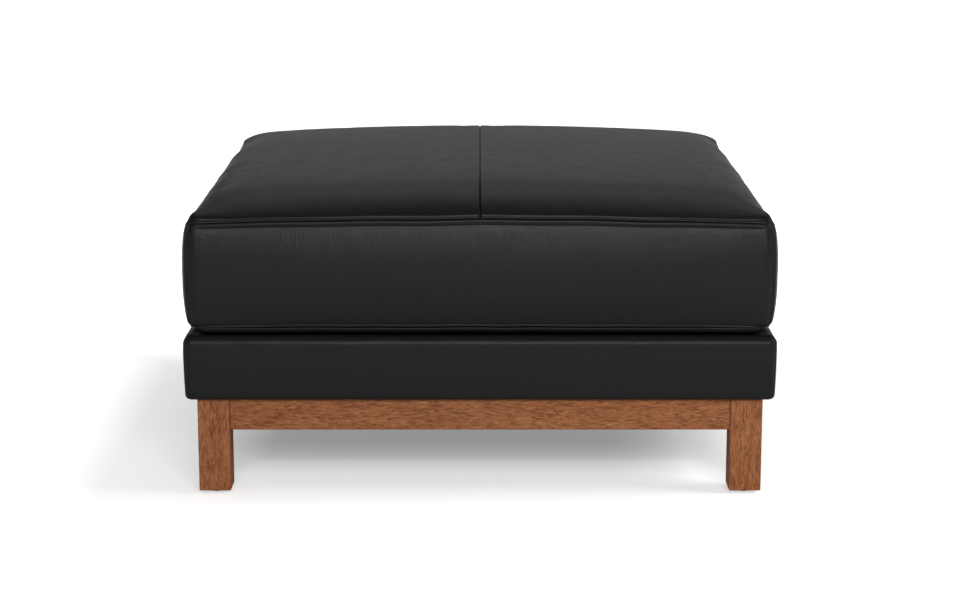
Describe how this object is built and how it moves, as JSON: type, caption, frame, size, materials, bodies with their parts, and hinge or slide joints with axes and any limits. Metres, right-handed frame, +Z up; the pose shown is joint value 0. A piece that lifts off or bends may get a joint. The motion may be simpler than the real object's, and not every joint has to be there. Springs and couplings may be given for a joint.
{
  "type": "leather ottoman",
  "caption": "Square upholstered ottoman with a loose crowned boxed cushion over a padded base, on a straight wooden leg frame with low aprons.",
  "frame": {"origin": "on the floor, under the middle of the ottoman's plan", "axes": "+X to the right along the front, the wider side, +Y to the back where the cushion's zip is, +Z up"},
  "size_m": [0.924, 0.882, 0.492],
  "materials": {
    "oak": "satin",
    "frame_wood": "matte",
    "leather": "satin",
    "glide": "matte",
    "steel": "satin",
    "webbing": "matte",
    "felt": "matte",
    "foam": "matte",
    "fibre": "matte",
    "deck_cloth": "matte",
    "dust_cloth": "matte",
    "zip_tape": "matte",
    "zip_coil": "satin",
    "zip_metal": "satin"
  },
  "bodies": {
    "base": {"leg_front_left": "oak", "corner_block_front_left": "frame_wood", "glide_front_left": "glide", "frame_block_front_left": "frame_wood", "leg_front_right": "oak", "corner_block_front_right": "frame_wood", "glide_front_right": "glide", "frame_block_front_right": "frame_wood", "leg_back_left": "oak", "corner_block_back_left": "frame_wood", "glide_back_left": "glide", "frame_block_back_left": "frame_wood", "leg_back_right": "oak", "corner_block_back_right": "frame_wood", "glide_back_right": "glide", "frame_block_back_right": "frame_wood", "apron_front": "oak", "frame_rail_front": "frame_wood", "base_cover_front": "leather", "apron_back": "oak", "frame_rail_back": "frame_wood", "base_cover_back": "leather", "apron_left": "oak", "frame_rail_left": "frame_wood", "base_cover_left": "leather", "apron_right": "oak", "frame_rail_right": "frame_wood", "base_cover_right": "leather", "frame_stretcher": "frame_wood", "corner_block_screws": "steel", "glide_nails": "steel", "mounting_bolts": "steel", "bolt_washers": "steel", "tee_nuts": "steel", "webbing_lengthwise": "webbing", "webbing_crosswise": "webbing", "insulator_cloth": "felt", "deck_foam": "foam", "edge_padding": "fibre", "deck_cloth": "deck_cloth", "dust_cover": "dust_cloth"},
    "cushion": {"cushion_core": "foam", "cushion_crown_foam": "foam", "cushion_wrap_top": "fibre", "cushion_wrap_bottom": "fibre", "cushion_top_left": "leather", "cushion_top_right": "leather", "cushion_bottom": "leather", "boxing_front": "leather", "boxing_left": "leather", "boxing_right": "leather", "zip_boxing_upper": "leather", "zip_boxing_lower": "leather", "zip_tape_upper": "zip_tape", "zip_tape_lower": "zip_tape", "zip_coil_upper": "zip_coil", "zip_coil_lower": "zip_coil"},
    "zip_slider": {"zip_slider": "zip_metal"},
    "zip_pull": {"zip_pull": "zip_metal"}
  },
  "joints": [
    {"name": "cushion_lift", "type": "slide", "parent": "base", "child": "cushion", "axis": [0, 0, 1], "range_m": [0, 0.25]},
    {"name": "zip_slide", "type": "slide", "parent": "cushion", "child": "zip_slider", "axis": [-1, 0, 0], "range_m": [0, 0.73]},
    {"name": "pull_hinge", "type": "hinge", "parent": "zip_slider", "child": "zip_pull", "pos_m": [0.366, 0.43845, 0.35675], "axis": [0, 0, -1], "range_deg": [0, 180]}
  ]
}
